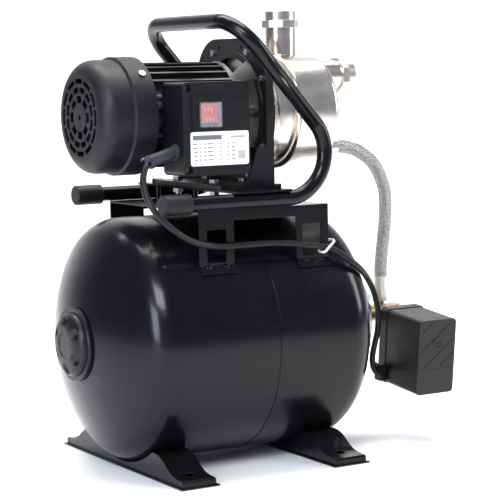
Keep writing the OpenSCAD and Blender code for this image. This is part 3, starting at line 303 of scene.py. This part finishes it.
def woven_wire(name):
    """Braided stainless wire: the UV map counts the strands of both hands. The colour darkens towards
    each strand's edges as painted shade.
    """
    s = surface(name, (0.5, 0.485, 0.46), 0.34, 0.08, metal=1.0, mottle=0.3, mottle_scale=260)
    split = s.add("ShaderNodeSeparateXYZ")
    s.link(s.add("ShaderNodeUVMap").outputs[0], split.inputs[0])
    a = split.outputs["X"]
    b = split.outputs["Y"]
    parity = s.math("MODULO", s.math("ADD", s.math("FLOOR", a), s.math("FLOOR", b)), 2)
    wires = [s.math("ABSOLUTE", s.math("SINE", s.math("MULTIPLY", side, math.pi * 5))) for side in (a, b)]
    over = s.math("MULTIPLY", wires[0], s.math("SUBTRACT", 1, parity))
    under = s.math("MULTIPLY", wires[1], parity)
    s.bump(s.math("ADD", over, under), 0.00025)
    # Painted shade: each strand's colour darkens from its middle to its edges and into the gaps between
    # strands.
    bands = [s.math("SINE", s.math("MULTIPLY", s.math("FRACT", side), math.pi)) for side in (a, b)]
    shown = s.math("ADD", s.math("MULTIPLY", bands[0], s.math("SUBTRACT", 1, parity)),
                   s.math("MULTIPLY", bands[1], parity))
    wire = s.out.inputs["Base Color"].links[0].from_socket
    painted_gap_shade = (0.16, 0.155, 0.145)
    s.link(s.blend(s.spread(shown, 0, 1, 0.15, 0.65), painted_gap_shade, wire), s.out.inputs["Base Color"])
    return s.material


MATERIALS = {
    "tank_paint": gloss_paint("tank_paint", (0.0028, 0.003, 0.0042), 0.24),
    "black_paint": gloss_paint("black_paint", (0.004, 0.004, 0.005), 0.22),
    "cast_paint": cast_paint("cast_paint"),
    "black_plastic": moulded("black_plastic", (0.0035, 0.0036, 0.0045), 0.38),
    "grey_plastic": moulded("grey_plastic", (0.005, 0.0052, 0.0065), 0.52),
    "white_plastic": moulded("white_plastic", (0.78, 0.78, 0.76), 0.35, dust=0.0),
    "red_plastic": lit_rocker("red_plastic"),
    "clear_boot": clear_plastic("clear_boot", (0.6, 0.62, 0.66), 0.1, 1.45, 0.17),
    "label": printed_label("label"),
    "grey_rubber": rubber("grey_rubber", (0.03, 0.034, 0.042), 0.5),
    "cord_rubber": rubber("cord_rubber", (0.006, 0.006, 0.0065), 0.42),
    "black_rubber": rubber("black_rubber", (0.02, 0.02, 0.02), 0.55),
    "zinc": plated_metal("zinc", (0.5, 0.5, 0.49), 0.3),
    "brass": plated_metal("brass", (0.62, 0.5, 0.3), 0.3),
    "nickel": turned_metal("nickel", (0.66, 0.62, 0.57), 0.3, 1300, 0.00002),
    "stainless": turned_metal("stainless", (0.74, 0.68, 0.62), 0.24, 700, 0.000006),
    "shaft_steel": turned_metal("shaft_steel", (0.5, 0.5, 0.5), 0.25),
    "core_steel": turned_metal("core_steel", (0.3, 0.29, 0.28), 0.45),
    "bearing_steel": turned_metal("bearing_steel", (0.55, 0.55, 0.55), 0.2),
    "copper": plated_metal("copper", (0.5, 0.2, 0.1), 0.35),
    "ceramic": moulded("ceramic", (0.75, 0.72, 0.65), 0.3, dust=0.0),
    "carbon": moulded("carbon", (0.03, 0.03, 0.03), 0.5, dust=0.0),
    "braid": woven_wire("braid"),
}

# ---------------------------------------------------------------- helpers


def new_object(name, mesh, slot, body):
    obj = bpy.data.objects.new(name, mesh)
    bpy.context.collection.objects.link(obj)
    mesh.materials.clear()
    mesh.materials.append(MATERIALS[slot])
    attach(obj, body)
    return obj


def from_bmesh(name, bm, slot, body="frame", smooth=True):
    mesh = bpy.data.meshes.new(name)
    bm.to_mesh(mesh)
    bm.free()
    if smooth:
        mesh.shade_smooth()
    return new_object(name, mesh, slot, body)


def soften(obj, width, segments=2, angle=32):
    """Rounds an object's sharp edges, by a width in millimetres."""
    bevel = obj.modifiers.new("edges", "BEVEL")
    bevel.width = width * 0.001
    bevel.segments = segments
    bevel.limit_method = "ANGLE"
    bevel.angle_limit = math.radians(angle)
    bevel.harden_normals = True
    bevel.use_clamp_overlap = True
    obj.modifiers.new("normals", "WEIGHTED_NORMAL").keep_sharp = True


def finished(node, width):
    """Stands a copy of a CAD node in its place, with smooth faces and, where a width is given, true
    rounded edges.
    """
    mesh = frame["nodes"][node].data.copy()
    bm = bmesh.new()
    bm.from_mesh(mesh)
    bmesh.ops.remove_doubles(bm, verts=bm.verts, dist=2e-6)
    bmesh.ops.dissolve_limit(bm, angle_limit=math.radians(0.4), verts=bm.verts, edges=bm.edges,
                             use_dissolve_boundaries=False)
    bm.to_mesh(mesh)
    bm.free()
    mesh.shade_smooth()
    obj = new_object(node + "_finished", mesh, SLOT_OF[node], BODY_OF[node])
    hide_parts(node)
    if width:
        soften(obj, width)
    else:
        mesh.set_sharp_from_angle(angle=math.radians(32))
    return obj


def smooth_path(points, steps):
    """A Catmull-Rom line through the points, in metres."""
    p = [mm(*q) for q in points]
    p = [2 * p[0] - p[1], *p, 2 * p[-1] - p[-2]]
    line = []
    for a, b, c, d in zip(p, p[1:], p[2:], p[3:]):
        for i in range(steps):
            t = i / steps
            line.append(0.5 * (2 * b + (c - a) * t + (2 * a - 5 * b + 4 * c - d) * t * t
                               + (3 * b - a - 3 * c + d) * t ** 3))
    return [*line, p[-2]]


# ---------------------------------------------------------------- cords

CORD = [
    [-119, -86, 347], [-126, -90, 340], [-131, -96, 328], [-133, -105, 315],
    [-130, -114, 301], [-121, -118, 288], [-109, -120, 277], [-94, -119, 267],
    [-77, -117, 260], [-59, -114, 256], [-41, -113, 254], [-23, -113, 254],
    [-5, -113, 254], [13, -113, 254], [31, -113, 253], [49, -113, 251],
    [66, -113, 248], [82, -113, 246], [97, -114, 242], [111, -118, 233],
    [123, -120, 224], [136, -115, 215], [150, -104, 206], [164, -91, 196],
    [178, -78, 184], [189, -67, 170], [197, -59, 156], [201, -53, 143],
    [202, -49, 129], [201, -45, 115], [200, -42, 102], [201, -40, 92],
    [204, -39, 84], [209, -38, 78]
]
CORD_D = 0.0072

HOSE = [
    [178, 0, 351], [188, 0, 351], [198, 0, 349], [208, 0, 346], [217, 0, 341],
    [226, 0, 335], [234, 0, 327], [240, 0, 318], [245, 0, 307], [249, 0, 295],
    [250, 0, 283], [250, 0, 270], [249, 0, 256], [247, 0, 241], [245, 0, 226],
    [243, 0, 211], [242, 0, 200], [242, 0, 190]
]
HOSE_D = 0.016
HOSE_STRANDS = 12


def make_power_cord():
    """The lead from the terminal box to the pressure switch."""
    path = smooth_path(CORD, 4)
    data = bpy.data.curves.new("power_lead", "CURVE")
    data.dimensions = "3D"
    data.bevel_depth = CORD_D / 2
    data.bevel_resolution = 5
    data.use_fill_caps = True
    spline = data.splines.new("POLY")
    spline.points.add(len(path) - 1)
    for point, place in zip(spline.points, path):
        point.co = (*place, 1)
    spline.use_smooth = True
    obj = bpy.data.objects.new("power_lead", data)
    bpy.context.collection.objects.link(obj)
    data.materials.append(MATERIALS["cord_rubber"])
    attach(obj, "frame")
    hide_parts("power_cord")


def braid_height(a, b):
    """Height of the woven strands over the hose, 0 to 1, at a place counted in strands."""
    fa = a % 1
    fb = b % 1
    if (math.floor(a) + math.floor(b)) % 2 == 0:
        return math.sqrt(math.sin(math.pi * fa)) * (0.55 + 0.45 * math.sin(math.pi * fb))
    return math.sqrt(math.sin(math.pi * fb)) * (0.55 + 0.45 * math.sin(math.pi * fa))


def make_hose():
    """The braided hose, with its strands as true relief."""
    sides = HOSE_STRANDS * 8
    relief = 0.0007
    path = smooth_path(HOSE, 30)
    strand = math.pi * HOSE_D / HOSE_STRANDS
    bm = bmesh.new()
    uv = bm.loops.layers.uv.new("UVMap")
    rings = []
    along = 0.0
    for i, centre in enumerate(path):
        before = path[max(i - 1, 0)]
        after = path[min(i + 1, len(path) - 1)]
        ahead = (after - before).normalized()
        if i:
            along += (centre - path[i - 1]).length
        side = Vector((0, 1, 0))
        up = side.cross(ahead)
        ring = []
        for j in range(sides + 1):
            turn = j / sides
            a = HOSE_STRANDS * turn + along / strand * 0.85
            b = HOSE_STRANDS * turn - along / strand * 0.85 + 1000
            radius = HOSE_D / 2 - relief + relief * braid_height(a, b)
            angle = 2 * math.pi * turn
            spot = centre + radius * (math.cos(angle) * side + math.sin(angle) * up)
            vert = ring[0][0] if j == sides else bm.verts.new(spot)
            ring.append((vert, (a, b)))
        rings.append(ring)
    for low, high in zip(rings, rings[1:]):
        for j in range(sides):
            corners = (low[j], low[j + 1], high[j + 1], high[j])
            face = bm.faces.new([c[0] for c in corners])
            for loop, corner in zip(face.loops, corners):
                loop[uv].uv = corner[1]
    for ring in (rings[0], rings[-1]):
        bm.faces.new([v for v, _ in ring[:-1]])
    bmesh.ops.recalc_face_normals(bm, faces=bm.faces)
    obj = from_bmesh("braided_sleeve", bm, "braid")
    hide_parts("braided_hose")


make_power_cord()
make_hose()

# ---------------------------------------------------------------- pieces carried over from the frame

EDGE_WIDTHS = {
    "tank_left_shell": 0, "tank_right_shell": 0, "girth_weld": 0.3, "water_flange": 0.5,
    "water_flange_bolts": 0.4, "valve_cover": 0.7, "left_foot": 0.8, "right_foot": 0.8,
    "saddle_bracket": 0.7, "handle_frame": 0, "near_rail_cap": 1.2, "far_rail_cap": 1.2,
    "mounting_plate": 0.6, "frame_bolts": 0.5, "motor_foot_bolts": 0.5, "zip_tie": 0.2,
    "motor_housing": 0.5, "rear_end_shield": 0.6, "fan_cover": 0.3, "fan_cover_screws": 0.4,
    "terminal_box_base": 0.8, "terminal_box_cover": 1.0, "cover_screws": 0.3,
    "switch_housing": 0.3, "rocker": 0.7, "switch_boot": 0.7, "rating_label": 0.1,
    "strain_relief": 0.8, "lantern": 1.0, "lantern_bolts": 0.3, "body_bolts": 0.4,
    "seal_plate": 0.3, "pump_body": 0.5, "outlet_adaptor": 0.5, "inlet_adaptor": 0.5,
    "hose_fittings": 0.4, "five_way_connector": 0.5, "connector_fittings": 0.5,
    "pressure_switch_base": 1.0, "pressure_switch_cover": 1.4, "switch_screw_and_gland": 0.3,
    "cooling_fan": 0.3, "air_valve": 0.3,
}
for node, obj in frame["nodes"].items():
    obj.data.materials.clear()
    obj.data.materials.append(MATERIALS[SLOT_OF[node]])
for node, width in EDGE_WIDTHS.items():
    finished(node, width)

# ---------------------------------------------------------------- details


def dome(bm, centre, normal, radius, height):
    """A low round swelling on a face."""
    turn = normal.to_track_quat("Z", "Y").to_matrix()
    rows = []
    for k in range(5):
        a = math.pi / 2 * k / 4
        ring = []
        for j in range(20):
            t = 2 * math.pi * j / 20
            spot = Vector((radius * math.cos(a) * math.cos(t), radius * math.cos(a) * math.sin(t),
                           height * math.sin(a)))
            ring.append(bm.verts.new(centre + turn @ spot))
            if k == 4:
                break
        rows.append(ring)
    for low, high in zip(rows, rows[1:]):
        for j in range(20):
            if len(high) == 1:
                bm.faces.new((low[j], low[(j + 1) % 20], high[0]))
            else:
                bm.faces.new((low[j], low[(j + 1) % 20], high[(j + 1) % 20], high[j]))
    bm.faces.new(list(reversed(rows[0])))


def make_spot_welds():
    """The welds that hold the bracket's tabs to the tank."""
    bm = bmesh.new()
    for x in WELD_X:
        for side in (-1, 1):
            angle = math.atan2(WELD_Z - TANK_Z, side * WELD_Y)
            out = Vector((0, math.cos(angle), math.sin(angle)))
            dome(bm, mm(x, 0, TANK_Z) + out * (TANK_R + BRACKET_SHEET) * 0.001, out, 0.0034, 0.0013)
    from_bmesh("spot_welds", bm, "black_paint")


make_spot_welds()

# ---------------------------------------------------------------- studio


def make_studio():
    """A pale floor that curves up into a backdrop behind the object."""
    bm = bmesh.new()
    profile = [(-7, 0), (2.5, 0)]
    profile += [(2.5 + 1.5 * math.sin(a), 1.5 - 1.5 * math.cos(a)) for a in
                (math.radians(10 * k) for k in range(1, 10))]
    profile += [(4, 7)]
    rows = [[bm.verts.new((x, y, z)) for x in (-9, 9)] for y, z in profile]
    for low, high in zip(rows, rows[1:]):
        bm.faces.new((low[0], low[1], high[1], high[0]))
    mesh = bpy.data.meshes.new("studio_floor")
    bm.to_mesh(mesh)
    bm.free()
    mesh.shade_smooth()
    floor = bpy.data.objects.new("studio_floor", mesh)
    floor.rotation_euler = (0, 0, -YAW)
    bpy.context.collection.objects.link(floor)
    s = surface("studio_paper", (0.93, 0.93, 0.93), 0.75, 0.05, mottle=0.01, mottle_scale=2,
                Specular_IOR_Level=0.2)
    mesh.materials.append(s.material)


def area_light(name, at, towards, size, power, colour=(1, 1, 1)):
    data = bpy.data.lights.new(name, "AREA")
    data.shape = "RECTANGLE"
    data.size, data.size_y = size
    data.energy = power
    data.color = colour
    light = bpy.data.objects.new(name, data)
    light.location = at
    light.rotation_mode = "QUATERNION"
    light.rotation_quaternion = (Vector(towards) - Vector(at)).to_track_quat("-Z", "Y")
    bpy.context.collection.objects.link(light)


make_studio()
area_light("key", (-1.3, -1.5, 1.7), (0, 0, 0.25), (1.0, 0.8), 40, (0.93, 0.96, 1))
area_light("top", (0.2, 0.3, 2.4), (0, 0, 0.2), (2.0, 1.6), 70)
area_light("left", (-2.0, -1.0, 0.65), (-0.1, 0, 0.2), (0.7, 0.9), 26, (0.8, 0.86, 1))
area_light("right", (1.9, -0.9, 1.0), (0.1, 0, 0.3), (0.5, 1.2), 20)
area_light("backdrop", (-0.2, 1.2, 3.2), (1.8, 3.4, 1.0), (4.0, 1.0), 150)

world = bpy.data.worlds.new("studio")
bpy.context.scene.world = world
world.use_nodes = True
world.node_tree.nodes["Background"].inputs["Color"].default_value = (0.7, 0.76, 0.93, 1)
world.node_tree.nodes["Background"].inputs["Strength"].default_value = 0.28
bpy.context.scene.view_settings.view_transform = "Standard"
